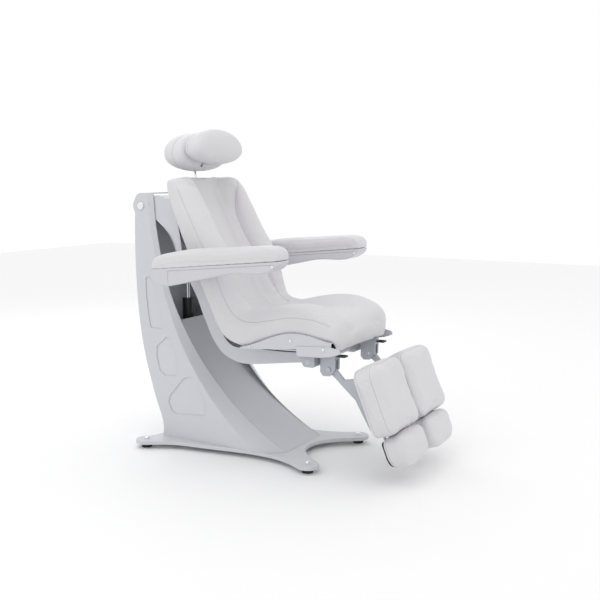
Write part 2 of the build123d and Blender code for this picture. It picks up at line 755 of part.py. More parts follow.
def foot_slider(side):
    with BuildPart() as slider:
        add(foot_rods(side, 112, 350, SLIDE_R))
        with BuildSketch(leg_plane().offset(CALF_BACK - 31)):
            with Locations((side * (BOARD_X - 2), -375)):
                Rectangle(72, 66)
        extrude(amount=36)
    return slider.part


def foot_shape(side, offset_in):
    """Half-round outline of the foot pad and its backing plate."""
    width, length = FOOT_W - 2 * offset_in, FOOT_L - 2 * offset_in
    with BuildSketch() as shape:
        with Locations((side * FOOT_X, -FOOT_START - FOOT_L / 2)):
            Rectangle(width, length)
        fillet(shape.vertices().group_by(Axis.Y)[0], 58 - offset_in)
        fillet(shape.vertices().group_by(Axis.Y)[-1], 26 - offset_in)
    return shape.sketch


def foot_plate(side):
    with BuildPart() as plate:
        with BuildSketch(leg_plane().offset(CALF_BACK + 5)):
            add(foot_shape(side, 12))
        extrude(amount=5)
    return plate.part


def foot_pad(side):
    with BuildPart() as pad:
        with BuildSketch(leg_plane().offset(CALF_BACK + 10)):
            add(foot_shape(side, 0))
        extrude(amount=FOOT_T)
    return pad.part


# ---- write every sub-part ----
column_outer = column_block()
column_hollow = column_block(PLATE, 60.0)
column_fit = column_block(PLATE + FIT, 0.0)

save(base_plate(), "base_plate")
save(levelling_feet(), "levelling_feet")
save(levelling_bolts(), "levelling_bolts")
save(rear_cover(column_fit), "rear_cover")
save(front_plate(column_fit), "front_plate")
save(top_cover(column_fit), "top_cover")
save(lift_axle(), "lift_axle")
save(axle_caps(), "axle_caps")
save(axle_spacers(), "axle_spacers")
save(actuator_shaft(), "actuator_shaft")
save(actuator_tube(), "actuator_tube")
save(actuator_motor(), "actuator_motor")
save(actuator_rod(), "actuator_rod")
save(swing_arm(), "swing_arm")
save(lift_pin(), "lift_pin")
save(rest_block(), "rest_block")
save(bucket_shell(), "bucket_shell")
save(bucket_cushion(), "bucket_cushion")
save(seat_plate(), "seat_plate")
save(tilt_axle(), "tilt_axle")
save(trim_bolts(), "trim_bolts")
save(leg_pins(), "leg_pins")
save(armrest_axles(), "armrest_axles")
save(armrest_collars(), "armrest_collars")
save(headrest_post(), "headrest_post")
save(headrest_carrier(), "headrest_carrier")
save(headrest_pin(), "headrest_pin")
save(head_pad(1305, 83, 423, 546, 1224) - head_pocket(), "headrest_pad_rear")
save(head_pad(1326, 77, 338, 417, 1250), "headrest_pad_front")

for hand, s in (("right", -1), ("left", 1)):
    save(side_plate(s, column_outer, column_hollow), f"side_plate_{hand}")
    save(window_panels(s), f"window_panels_{hand}")
    save(tilt_bracket(s), f"tilt_bracket_{hand}")
    save(side_wing(s), f"side_wing_{hand}")
    save(knuckle(s), f"knuckle_{hand}")
    save(release_pull(s), f"release_pull_{hand}")
    save(armrest_bracket(s), f"armrest_bracket_{hand}")
    save(armrest_casing(s), f"armrest_casing_{hand}")
    save(armrest_pad(s), f"armrest_pad_{hand}")
    save(leg_bar(s), f"leg_bar_{hand}")
    save(calf_board(s), f"calf_board_{hand}")
    save(calf_pad(s), f"calf_pad_{hand}")
    save(foot_slider(s), f"foot_slider_{hand}")
    save(foot_plate(s), f"foot_plate_{hand}")
    save(foot_pad(s), f"foot_pad_{hand}")
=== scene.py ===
"""Pedicure spa chair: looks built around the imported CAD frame. Lengths are in metres, the chair faces -Y."""
import json
import math

import bmesh
import bpy
import numpy as np
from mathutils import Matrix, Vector
from mathutils.bvhtree import BVHTree


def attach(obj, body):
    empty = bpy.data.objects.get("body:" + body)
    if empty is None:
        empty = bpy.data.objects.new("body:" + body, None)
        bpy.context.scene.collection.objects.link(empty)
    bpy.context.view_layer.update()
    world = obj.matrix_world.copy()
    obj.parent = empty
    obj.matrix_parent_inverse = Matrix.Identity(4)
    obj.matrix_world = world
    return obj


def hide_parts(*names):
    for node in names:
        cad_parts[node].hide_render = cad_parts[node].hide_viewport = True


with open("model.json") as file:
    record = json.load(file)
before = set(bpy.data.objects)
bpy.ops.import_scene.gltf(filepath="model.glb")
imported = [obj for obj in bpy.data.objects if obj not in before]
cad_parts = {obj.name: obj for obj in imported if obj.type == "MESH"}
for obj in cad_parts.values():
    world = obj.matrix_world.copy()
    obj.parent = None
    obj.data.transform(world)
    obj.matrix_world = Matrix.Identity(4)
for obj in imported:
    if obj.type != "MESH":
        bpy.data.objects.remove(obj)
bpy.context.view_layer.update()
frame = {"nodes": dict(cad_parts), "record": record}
MM = 0.001
SIDES = (("right", -1), ("left", 1))


# ---------------------------------------------------------------- materials
def new_material(name):
    mat = bpy.data.materials.new(name)
    mat.use_nodes = True
    tree = mat.node_tree
    return mat, tree, tree.nodes["Principled BSDF"]


def add_node(tree, kind, **settings):
    made = tree.nodes.new(kind)
    for key, value in settings.items():
        if key in made.inputs:
            made.inputs[key].default_value = value
        else:
            setattr(made, key, value)
    return made


def noise(tree, coords, scale, detail=3.0, rough=0.5):
    made = add_node(tree, "ShaderNodeTexNoise")
    made.inputs["Scale"].default_value = scale
    made.inputs["Detail"].default_value = detail
    made.inputs["Roughness"].default_value = rough
    tree.links.new(coords, made.inputs["Vector"])
    return made


def ramp(tree, source, low, high, at=(0.3, 0.7)):
    made = add_node(tree, "ShaderNodeValToRGB")
    stops = made.color_ramp.elements
    stops[0].position, stops[1].position = at
    stops[0].color, stops[1].color = low, high
    tree.links.new(source, made.inputs["Fac"])
    return made.outputs["Color"]


def grey(v):
    return (v, v, v, 1)


def tone(colour, factor):
    return tuple(min(c * factor, 1) for c in colour) + (1,)


def surface(name, colour, rough, spread=0.03, metal=0.0, grain=(), blotch=9.0, rough_spread=0.08,
            specular=0.5, coat=0.0, sheen=0.0, edge=0.0):
    """Principled surface: clouded colour, varied roughness, layered bump, softened edges."""
    mat, tree, bsdf = new_material(name)
    link = tree.links.new
    coords = add_node(tree, "ShaderNodeTexCoord").outputs["Object"]
    cloud = noise(tree, coords, blotch, 4.0, 0.55)
    link(ramp(tree, cloud.outputs["Fac"], tone(colour, 1 - spread), tone(colour, 1 + spread)),
         bsdf.inputs["Base Color"])
    wear = noise(tree, coords, blotch * 6, 5.0, 0.6)
    link(ramp(tree, wear.outputs["Fac"], grey(rough - rough_spread), grey(rough + rough_spread)),
         bsdf.inputs["Roughness"])
    bsdf.inputs["Metallic"].default_value = metal
    bsdf.inputs["Specular IOR Level"].default_value = specular
    bsdf.inputs["Coat Weight"].default_value = coat
    bsdf.inputs["Coat Roughness"].default_value = 0.3
    bsdf.inputs["Sheen Weight"].default_value = sheen
    last = None
    if edge:
        soft = add_node(tree, "ShaderNodeBevel", samples=4)
        soft.inputs["Radius"].default_value = edge
        last = soft.outputs["Normal"]
    for kind, scale, depth in grain:
        if kind == "cells":
            source = add_node(tree, "ShaderNodeTexVoronoi", feature="DISTANCE_TO_EDGE")
            source.inputs["Scale"].default_value = scale
            warp = noise(tree, coords, scale * 0.35, 2.0)
            mixed = add_node(tree, "ShaderNodeVectorMath", operation="MULTIPLY_ADD")
            link(warp.outputs["Color"], mixed.inputs[0])
            mixed.inputs[1].default_value = (1.6 / scale,) * 3
            link(coords, mixed.inputs[2])
            link(mixed.outputs["Vector"], source.inputs["Vector"])
            height = source.outputs["Distance"]
        else:
            height = noise(tree, coords, scale, 4.0, 0.6).outputs["Fac"]
        bump = add_node(tree, "ShaderNodeBump")
        bump.inputs["Strength"].default_value = 1.0
        bump.inputs["Distance"].default_value = depth
        link(height, bump.inputs["Height"])
        if last is not None:
            link(last, bump.inputs["Normal"])
        last = bump.outputs["Normal"]
    if last is not None:
        link(last, bsdf.inputs["Normal"])
    return mat


LEATHER = surface("leather_white", (0.655, 0.646, 0.668), 0.46, 0.018, blotch=5.0, sheen=0.08, coat=0.06,
                  grain=(("noise", 22, 0.0022), ("cells", 620, 0.00035), ("noise", 1500, 0.00012)))
THREAD = surface("seam_thread", (0.42, 0.415, 0.44), 0.7, 0.05, grain=(("noise", 1800, 0.0003),))
PAINT = surface("powder_coat", (0.585, 0.595, 0.625), 0.40, 0.012, blotch=3.0, edge=0.0016,
                grain=(("noise", 900, 0.00010), ("noise", 60, 0.00025)))
PANEL = surface("panel_paint", (0.60, 0.605, 0.635), 0.42, 0.012, blotch=3.0, grain=(("noise", 900, 0.0001),))
COVER = surface("moulded_cover", (0.585, 0.585, 0.615), 0.34, 0.012, blotch=6.0, coat=0.08, edge=0.0012,
                grain=(("noise", 1300, 0.00008),))
CAST = surface("cast_metal", (0.44, 0.46, 0.50), 0.42, 0.05, metal=0.35, blotch=14.0, edge=0.0015,
               grain=(("noise", 700, 0.00025), ("noise", 120, 0.0003)))
CHROME = surface("chrome", (0.82, 0.83, 0.85), 0.12, 0.02, metal=1.0, blotch=20.0, rough_spread=0.05,
                 grain=(("noise", 90, 0.00005),))
STEEL = surface("brushed_steel", (0.50, 0.51, 0.53), 0.32, 0.05, metal=1.0, blotch=18.0,
                grain=(("noise", 700, 0.00012),))
BLACK = surface("black_plastic", (0.022, 0.022, 0.025), 0.42, 0.15, blotch=20.0, edge=0.0008,
                grain=(("noise", 1400, 0.00015),))
RUBBER = surface("black_rubber", (0.016, 0.016, 0.017), 0.72, 0.2, blotch=25.0, edge=0.001,
                 grain=(("noise", 1100, 0.0003), ("noise", 240, 0.0004)))
BY_SLOT = {"painted_steel": PAINT, "panel_paint": PANEL, "upholstery": LEATHER, "moulded_cover": COVER,
           "rubber": RUBBER, "black_plastic": BLACK, "chrome": CHROME, "cast_aluminium": CAST, "steel": STEEL}


def dress_cad_nodes():
    for part in frame["record"]["subparts"]:
        node = frame["nodes"][part["node"]]
        node.data.materials.clear()
        node.data.materials.append(BY_SLOT[part["material_slot"]])


# ---------------------------------------------------------------- mesh helpers
def mesh_object(name, verts, faces, material):
    data = bpy.data.meshes.new(name)
    data.from_pydata([tuple(v) for v in verts], [], faces)
    data.validate()
    data.update()
    made = bpy.data.objects.new(name, data)
    bpy.context.scene.collection.objects.link(made)
    made.data.materials.append(material)
    bm = bmesh.new()
    bm.from_mesh(data)
    bmesh.ops.recalc_face_normals(bm, faces=bm.faces)
    bm.to_mesh(data)
    bm.free()
    data.polygons.foreach_set("use_smooth", [True] * len(data.polygons))
    return made


def loft(name, rings, material):
    """Closed mesh through equal rings of points, with a fan at each end."""
    count = len(rings[0])
    verts = [p for ring in rings for p in ring]
    faces = []
    for i in range(len(rings) - 1):
        for j in range(count):
            k = (j + 1) % count
            faces.append((i * count + j, i * count + k, (i + 1) * count + k, (i + 1) * count + j))
    for ring, start in ((rings[0], 0), (rings[-1], (len(rings) - 1) * count)):
        verts.append(sum((Vector(p) for p in ring), Vector()) / count)
        hub = len(verts) - 1
        faces += [(start + j, start + (j + 1) % count, hub) for j in range(count)]
    return mesh_object(name, verts, faces, material)


def apply_modifier(obj, kind, **settings):
    mod = obj.modifiers.new(kind.lower(), kind)
    for key, value in settings.items():
        setattr(mod, key, value)
    bpy.context.view_layer.update()
    shape = bpy.data.meshes.new_from_object(obj.evaluated_get(bpy.context.evaluated_depsgraph_get()))
    obj.modifiers.clear()
    old = obj.data
    name = old.name
    obj.data = shape
    bpy.data.meshes.remove(old)
    shape.name = name
    return obj


def coords_of(obj):
    co = np.empty(len(obj.data.vertices) * 3)
    obj.data.vertices.foreach_get("co", co)
    return co.reshape(-1, 3)


def set_coords(obj, co):
    obj.data.vertices.foreach_set("co", co.reshape(-1))
    obj.data.update()


def puff(obj, voxel, cap, pressure=4.0, keep_flat=None):
    """Stuffs a piece: voxel remesh, a short pressure simulation, a cap on each point's travel."""
    material = obj.data.materials[0]
    apply_modifier(obj, "REMESH", mode="VOXEL", voxel_size=voxel, use_smooth_shade=True)
    apply_modifier(obj, "SMOOTH", factor=0.5, iterations=4)
    start = coords_of(obj)
    cloth = obj.modifiers.new("cloth", "CLOTH")
    kit = cloth.settings
    kit.quality = 4
    kit.mass = 0.3
    kit.tension_stiffness = kit.compression_stiffness = 12
    kit.shear_stiffness = 6
    kit.bending_stiffness = 0.6
    kit.use_pressure = True
    kit.uniform_pressure_force = pressure
    kit.effector_weights.gravity = 0
    cloth.collision_settings.use_collision = False
    for step in range(1, 21):
        bpy.context.scene.frame_set(step)
    done = obj.evaluated_get(bpy.context.evaluated_depsgraph_get())
    end = np.array([v.co for v in done.data.vertices])
    obj.modifiers.clear()
    bpy.context.scene.frame_set(1)
    move = end - start
    if keep_flat is not None:
        move *= keep_flat(start)[:, None]
    size = np.linalg.norm(move, axis=1, keepdims=True)
    limit = cap * np.tanh(size / cap)
    set_coords(obj, start + move / np.maximum(size, 1e-9) * limit)
    apply_modifier(obj, "SUBSURF", levels=1, render_levels=1)
    obj.data.materials.clear()
    obj.data.materials.append(material)
    obj.data.polygons.foreach_set("use_smooth", [True] * len(obj.data.polygons))
    return obj


def smooth_path(points, steps=12):
    """Catmull-Rom curve through points of any dimension."""
    p = [np.array(q, float) for q in points]
    p = [2 * p[0] - p[1]] + p + [2 * p[-1] - p[-2]]
    out = []
    for i in range(1, len(p) - 2):
        for k in range(steps):
            t = k / steps
            out.append(0.5 * (2 * p[i] + (p[i + 1] - p[i - 1]) * t
                              + (2 * p[i - 1] - 5 * p[i] + 4 * p[i + 1] - p[i + 2]) * t * t
                              + (3 * p[i] - p[i - 1] - 3 * p[i + 1] + p[i + 2]) * t ** 3))
    out.append(p[-2])
    return out


def on_surface(obj, points, lift=0.0):
    """The nearest surface points of a piece, with their normals."""
    tree = BVHTree.FromPolygons([v.co[:] for v in obj.data.vertices],
                                [tuple(f.vertices) for f in obj.data.polygons])
    found = []
    for p in points:
        place, normal, _, _ = tree.find_nearest(Vector(p))
        found.append(place + normal * lift)
    return found


def groove(obj, line, depth, width):
    """Presses a sewn line into a piece."""
    path = np.array([tuple(p) for p in line])
    co = coords_of(obj)
    low, high = path.min(0) - 3 * width, path.max(0) + 3 * width
    near = np.where(((co > low) & (co < high)).all(1))[0]
    normals = np.array([obj.data.vertices[i].normal for i in near]).reshape(-1, 3)
    gap = np.full(len(near), 1e9)
    for a in path:
        gap = np.minimum(gap, np.linalg.norm(co[near] - a, axis=1))
    co[near] -= normals * (depth * np.exp(-(gap / width) ** 2))[:, None]
    set_coords(obj, co)


def tube(name, points, radius, material, cyclic=False):
    data = bpy.data.curves.new(name, "CURVE")
    data.dimensions = "3D"
    data.bevel_depth = radius
    data.bevel_resolution = 3
    spline = data.splines.new("POLY")
    spline.points.add(len(points) - 1)
    for q, p in zip(spline.points, points):
        q.co = (*p, 1)
    spline.use_cyclic_u = cyclic
    data.use_fill_caps = True
    made = bpy.data.objects.new(name, data)
    bpy.context.scene.collection.objects.link(made)
    data.materials.append(material)
    return made


def finish_soft(obj, body, nodes):
    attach(obj, body)
    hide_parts(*nodes)


# ---------------------------------------------------------------- bucket seat and back
# rear Y, Z; middle Y, Z; bolster crest Y, Z; half width - from the front lip, over the seat, up the back
BUCKET = (
    (-338, 512, -353, 512, -354, 512, 226), (-338, 545, -359, 558, -359, 558, 243),
    (-331, 547, -354, 602, -359, 612, 247), (-314, 550, -330, 630, -341, 640, 249),
    (-284, 554, -288, 642, -300, 661, 249), (-235, 562, -232, 642, -236, 678, 249),
    (-165, 567, -165, 634, -165, 679, 249), (-95, 555, -95, 625, -95, 671, 249),
    (-20, 528, -20, 617, -20, 655, 248), (57, 501, 48, 612, 40, 643, 247),
    (110, 497, 103, 614, 88, 648, 246), (170, 517, 150, 629, 120, 668, 246),
    (212, 560, 186, 658, 140, 703, 246), (250, 628, 220, 705, 155, 752, 247),
    (298, 728, 254, 777, 173, 824, 248), (348, 833, 292, 855, 211, 898, 248),
    (396, 935, 338, 940, 260, 975, 248), (434, 1030, 384, 1024, 300, 1048, 249),
    (453, 1093, 416, 1084, 333, 1104, 249), (463, 1136, 434, 1134, 358, 1146, 248),
    (466, 1162, 446, 1164, 384, 1172, 246),
)
INNER, CREST = 0.080, 0.172        # where the bolster starts to rise, and its crest, from the middle
SHOULDER = 0.52                    # share of the thickness taken by the bolster's outer round
REAR_TURN, REAR_ROUND = 0.86, 0.014    # share of the thickness where the rear edge turns in, and by how much


def bucket_ring(row, squeeze=0.0, slide=(0.0, 0.0)):
    """One closed cross-section, from the middle of the front round to the rear."""
    rear, middle, crest = (np.array(row[i:i + 2]) * MM for i in (0, 2, 4))
    half = row[6] * MM * (1 - 0.05 * squeeze)
    middle, crest = (p + (rear - p) * 0.5 * squeeze for p in (middle, crest))
    rear = rear + (middle - rear) * 0.5 * squeeze
    shift = np.array(slide)
    ring = []

    def put(x, yz, arch=True):
        rise = shift * (1 - 0.35 * (x / half) ** 2 if arch else 1)
        ring.append((x, yz[0] + rise[0], yz[1] + rise[1]))

    for s in (1, -1):
        front = []
        for i in range(26):
            x = CREST * i / 25
            t = min(max((x - INNER) / (CREST - INNER), 0), 1)
            t = t * t * (3 - 2 * t)
            crown = 0.10 * math.cos(min(x / INNER, 1) * math.pi / 2)
            front.append((x, middle + (crest - middle) * (t + crown)))
        for i in range(1, 13):
            a = math.pi / 2 * i / 12
            x = CREST + (half - CREST) * math.sin(a)
            front.append((x, crest + (rear - crest) * SHOULDER * (1 - math.cos(a))))
        for i in range(1, 7):
            t = SHOULDER + (REAR_TURN - SHOULDER) * i / 6
            front.append((half, crest + (rear - crest) * t))
        for i in range(1, 5):
            a = math.pi / 2 * i / 4
            share = REAR_TURN + (1 - REAR_TURN) * math.sin(a)
            front.append((half - REAR_ROUND * (1 - math.cos(a)), crest + (rear - crest) * share))
        for i in range(1, 13):
            front.append(((half - REAR_ROUND) * (1 - i / 12), rear))
        if s < 0:
            front = list(reversed(front))[1:-1]
        for x, yz in front:
            put(s * x, yz)
    return ring


def build_bucket():
    rows = smooth_path(BUCKET, 6)
    lip = [np.array(rows[0]), np.array(rows[1])]
    top = [np.array(rows[-2]), np.array(rows[-1])]
    rings = []
    for a in (1.35, 1.1, 0.75, 0.4):
        rings.append(bucket_ring(lip[0], 1 - math.cos(a), (0.0, -0.007 * math.sin(a))))
    rings += [bucket_ring(r) for r in rows]
    for a in (0.2, 0.45, 0.75, 1.05, 1.3, 1.45):
        rings.append(bucket_ring(top[1], 1 - math.cos(a), (0.008 * math.sin(a), 0.036 * math.sin(a))))
    seat = loft("bucket_upholstery", rings, LEATHER)
    puff(seat, 0.0055, 0.006, 3.0)
    return seat


def soft_folds(obj):
    """Slack in the cover where the seat turns into the back, and over the front roll."""
    co = coords_of(obj)
    normals = np.array([v.normal for v in obj.data.vertices])
    x, y, z = co.T
    bend = np.exp(-(((y - 0.12) / 0.11) ** 2 + ((z - 0.66) / 0.09) ** 2))
    lines = np.sin(38 * (y + 0.9 * z) + 9 * x) * np.exp(-((np.abs(x) - 0.15) / 0.07) ** 2)
    fold = 0.0030 * bend * lines
    side = np.exp(-((z - 0.61) / 0.035) ** 2) * np.exp(-((y + 0.13) / 0.16) ** 2) * (np.abs(x) > 0.19)
    fold += 0.0016 * side * np.sin(24 * y + 60 * z)
    back = np.exp(-(((z - 1.02) / 0.045) ** 2 + ((x + 0.06) / 0.05) ** 2))
    fold += 0.0022 * back * np.sin(95 * (z - 0.4 * x))
    set_coords(obj, co + normals * fold[:, None])


def sew(obj, name, points, depth=0.0030, width=0.006, radius=0.0009):
    line = on_surface(obj, smooth_path(points, 14))
    groove(obj, line, depth, width)
    thread = tube(name, on_surface(obj, line, -radius * 0.2), radius, THREAD)
    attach(thread, "seat")


# lines over the near half of the bucket, (X, Y, Z) in metres, mirrored for the other half
VALLEY = (
    (0.140, 0.378, 1.130), (0.122, 0.355, 1.050), (0.118, 0.315, 0.960), (0.130, 0.265, 0.870),
    (0.145, 0.215, 0.780), (0.152, 0.175, 0.700),
)
BACK_SEAM = (
    (0.185, 0.385, 1.175), (0.150, 0.370, 1.120), (0.122, 0.355, 1.050), (0.118, 0.315, 0.960),
    (0.130, 0.265, 0.870), (0.150, 0.215, 0.780), (0.156, 0.175, 0.700), (0.150, 0.130, 0.650),
    (0.140, 0.080, 0.625),
)
SIDE_SEAM = (
    (0.255, -0.330, 0.615), (0.256, -0.250, 0.632), (0.256, -0.150, 0.634), (0.256, -0.050, 0.618),
    (0.256, 0.040, 0.606), (0.256, 0.110, 0.622), (0.256, 0.165, 0.690), (0.256, 0.215, 0.790),
    (0.255, 0.285, 0.920), (0.250, 0.350, 1.040), (0.242, 0.405, 1.140),
)


def on_side(points, s):
    return [(s * x, y, z) for x, y, z in points]


def bucket():
    seat = build_bucket()
    soft_folds(seat)
    for hand, s in SIDES:
        groove(seat, on_surface(seat, smooth_path(on_side(VALLEY, s), 10)), 0.0085, 0.020)
        sew(seat, f"back_seam_{hand}", on_side(BACK_SEAM, s))
        sew(seat, f"side_seam_{hand}", on_side(SIDE_SEAM, s), 0.002, 0.005)
    finish_soft(seat, "seat", ["bucket_cushion"])


# ---------------------------------------------------------------- pads
def rounded_outline(width, length, radii, count=14):
    """Corner radii run: +u +v, -u +v, -u -v, +u -v."""
    out = []
    for k, (sx, sy) in enumerate(((1, 1), (-1, 1), (-1, -1), (1, -1))):
        r = radii[k]
        cx, cy = sx * (width / 2 - r), sy * (length / 2 - r)
        for i in range(count + 1):
            a = math.pi / 2 * (k + i / count)
            out.append((cx + r * math.cos(a), cy + r * math.sin(a)))
    return resample(out, 120)


def resample(points, count):
    p = np.array(points + [points[0]])
    run = np.concatenate([[0], np.cumsum(np.linalg.norm(np.diff(p, axis=0), axis=1))])
    at = np.linspace(0, run[-1], count, endpoint=False)
    return [(np.interp(a, run, p[:, 0]), np.interp(a, run, p[:, 1])) for a in at]


def pillow(name, outline, depth, edge, crown, place, back_edge=None, waist=0.0):
    """Crowned pad from an outline and a depth. place maps (u, v, w) to the row frame, w from the back."""
    back_edge = back_edge or edge * 0.45
    flat = np.array(outline)
    middle = flat.mean(0)
    ahead, behind = np.roll(flat, -1, 0), np.roll(flat, 1, 0)
    along = ahead - behind
    normal = np.stack([along[:, 1], -along[:, 0]], 1)
    normal /= np.linalg.norm(normal, axis=1, keepdims=True)
    if ((flat - middle) * normal).sum() < 0:
        normal = -normal

    def ring(inset, w, shrink=1.0):
        pts = middle + (flat - normal * inset - middle) * shrink
        return [place(u, v, w) for u, v in pts]

    rings = [ring(back_edge, 0.0, s) for s in (0.25, 0.5, 0.75)]
    for i in range(5):
        a = math.pi / 2 * i / 4
        rings.append(ring(back_edge * (1 - math.sin(a)), back_edge * (1 - math.cos(a))))
    for i in range(1, 8):
        t = i / 8
        w = back_edge + (depth - edge - back_edge) * t
        rings.append(ring(waist * math.sin(math.pi * t), w))
    for i in range(8):
        a = math.pi / 2 * i / 7
        rings.append(ring(edge * (1 - math.cos(a)), depth - edge + edge * math.sin(a)))
    for s in (0.9, 0.78, 0.62, 0.45, 0.28, 0.12):
        rings.append(ring(edge, depth + crown * (1 - s * s), s))
    return loft(name, rings, LEATHER)


PUFF_PRESSURE = 3.0
LEG_PIVOT = Vector((0, -0.305, 0.432))
LEG_LEAN = math.radians(22)
LEG_OUT = Vector((0, -math.cos(LEG_LEAN), math.sin(LEG_LEAN)))
LEG_UP = Vector((0, math.sin(LEG_LEAN), math.cos(LEG_LEAN)))


def leg_place(centre_x, down, out):
    """Maps pad coordinates (across, up, out) to the row frame."""
    def place(u, v, w):
        return Vector((centre_x + u, 0, 0)) + LEG_PIVOT + LEG_UP * (v - down) + LEG_OUT * (out + w)
    return place


def pad_seam(obj, name, outline, place, w, body, depth=0.0022):
    line = on_surface(obj, [place(u, v, w) for u, v in outline])
    groove(obj, line, depth, 0.005)
    thread = tube(name, on_surface(obj, line, -0.0001), 0.0009, THREAD, cyclic=True)
    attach(thread, body)


CALF_X, CALF_WIDTH, CALF_LENGTH, CALF_DEPTH = 0.151, 0.290, 0.281, 0.094
CALF_TOP, CALF_BACK = 0.033, 0.1315         # down from the pivot, and out from the leg bar's plane
CALF_CORNERS = (0.052, 0.052, 0.044, 0.044)
FOOT_X, FOOT_WIDTH, FOOT_LENGTH, FOOT_DEPTH = 0.140, 0.240, 0.131, 0.088
FOOT_MIDDLE, FOOT_BACK = 0.320 + 0.066, 0.1415
FOOT_CORNERS = (0.034, 0.034, 0.066, 0.066)
PAD_CROWN, PAD_WAIST, PAD_VOXEL, PAD_CAP = 0.003, 0.002, 0.005, 0.005


def leg_pads():
    for hand, s in SIDES:
        place = leg_place(s * CALF_X, CALF_TOP + CALF_LENGTH / 2, CALF_BACK)
        shape = rounded_outline(CALF_WIDTH, CALF_LENGTH, CALF_CORNERS)
        pad = pillow(f"calf_pad_soft_{hand}", shape, CALF_DEPTH, 0.026, PAD_CROWN, place, waist=PAD_WAIST)
        held = away_from_back(LEG_PIVOT + LEG_OUT * CALF_BACK, LEG_OUT)
        puff(pad, PAD_VOXEL, PAD_CAP, PUFF_PRESSURE, keep_flat=held)
        pad_seam(pad, f"calf_seam_{hand}", shape, place, 0.013, f"leg_{hand}")
        pad_seam(pad, f"calf_face_seam_{hand}", shape, place, 0.076, f"leg_{hand}", 0.0012)
        finish_soft(pad, f"leg_{hand}", [f"calf_pad_{hand}"])
        place = leg_place(s * FOOT_X, FOOT_MIDDLE, FOOT_BACK)
        shape = rounded_outline(FOOT_WIDTH, FOOT_LENGTH, FOOT_CORNERS)
        pad = pillow(f"foot_pad_soft_{hand}", shape, FOOT_DEPTH, 0.030, PAD_CROWN, place, waist=PAD_WAIST)
        held = away_from_back(LEG_PIVOT + LEG_OUT * FOOT_BACK, LEG_OUT)
        puff(pad, PAD_VOXEL, PAD_CAP, PUFF_PRESSURE, keep_flat=held)
        pad_seam(pad, f"foot_seam_{hand}", shape, place, 0.012, f"footrest_{hand}")
        finish_soft(pad, f"footrest_{hand}", [f"foot_pad_{hand}"])


def away_from_back(origin, direction):
    """Weight that holds a pad's back flat on its board."""
    def weight(co):
        height = (co - np.array(origin)) @ np.array(direction)
        return np.clip(height / 0.02, 0, 1)
    return weight


def head_outline(half_width, up, down, sag):
    """Half-moon seen from the front: a high arch over a flatter underside."""
    out = []
    for i in range(120):
        a = 2 * math.pi * i / 120
        c, s = math.cos(a), math.sin(a)
        u = half_width * math.copysign(abs(c) ** 0.86, c)
        v = up * abs(s) ** 0.95 if s > 0 else -down * abs(s) ** 0.85
        out.append((u, v - sag * (u / half_width) ** 2))
    return resample(out, 130)


# piece, node it stands for, back Y, middle Z, half width, up, down, depth, back edge, seam's depth
HEADREST = (
    ("headrest_rear_soft", "headrest_pad_rear", 0.542, 1.300, 0.180, 0.086, 0.076, 0.120, 0.034, 0.060),
    ("headrest_front_soft", "headrest_pad_front", 0.4165, 1.320, 0.182, 0.082, 0.067, 0.079, 0.016, 0.017),
)


def headrest_pads():
    for name, node, back, middle, half, up, down, deep, back_edge, seam in HEADREST:
        def place(u, v, w, back=back, middle=middle):
            return Vector((u, back - w, middle + v))
        shape = head_outline(half, up, down, 0.004)
        pad = pillow(name, shape, deep, 0.038, 0.006, place, back_edge=back_edge)
        puff(pad, 0.005, 0.004, PUFF_PRESSURE)
        stitched = on_surface(pad, [place(u, v, seam) for u, v in shape])
        groove(pad, stitched, 0.002, 0.005)
        thread = tube(f"{name}_seam", on_surface(pad, stitched, -0.0001), 0.0009, THREAD, cyclic=True)
        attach(thread, "headrest")
        finish_soft(pad, "headrest", [node])


# ---------------------------------------------------------------- armrests
# outline of the pad over its casing, (Y, Z) in mm, from the rear
REST_TOP = (
    (434, 815), (434, 824), (431, 846), (412, 865), (383, 875), (320, 887), (259, 898), (170, 906), (80, 912),
    (-10, 919), (-104, 926), (-145, 927), (-168, 921), (-181, 908), (-187, 893), (-183, 877), (-181, 876),
)


REST_X, REST_HALF, REST_EDGE = 0.355, 0.0468, 0.020     # middle, half width and edge round of the pad
REST_SINK = 0.0016                                      # how far the pad sits down over its casing
SPLIT_FRONT, SPLIT_REAR = (-181, 876), (434, 815)       # Y, Z of the joint between pad and casing
END_DRAW, TOP_DRAW = 0.35 / 0.30, 7.0                   # how the outline draws in toward the pad's sides


def split(y):
    (y0, z0), (y1, z1) = SPLIT_FRONT, SPLIT_REAR
    return (z0 + (z1 - z0) * (y / MM - y0) / (y1 - y0)) * MM - REST_SINK


def armrest_ring(flat, middle, s, w, drop):
    ring = []
    for y, z in flat:
        base = split(y)
        drawn = middle + (y - middle) * (1 - drop * END_DRAW)
        ring.append(Vector((s * REST_X + w, drawn, base + max(z - base, 0) * (1 - drop * TOP_DRAW))))
    return ring


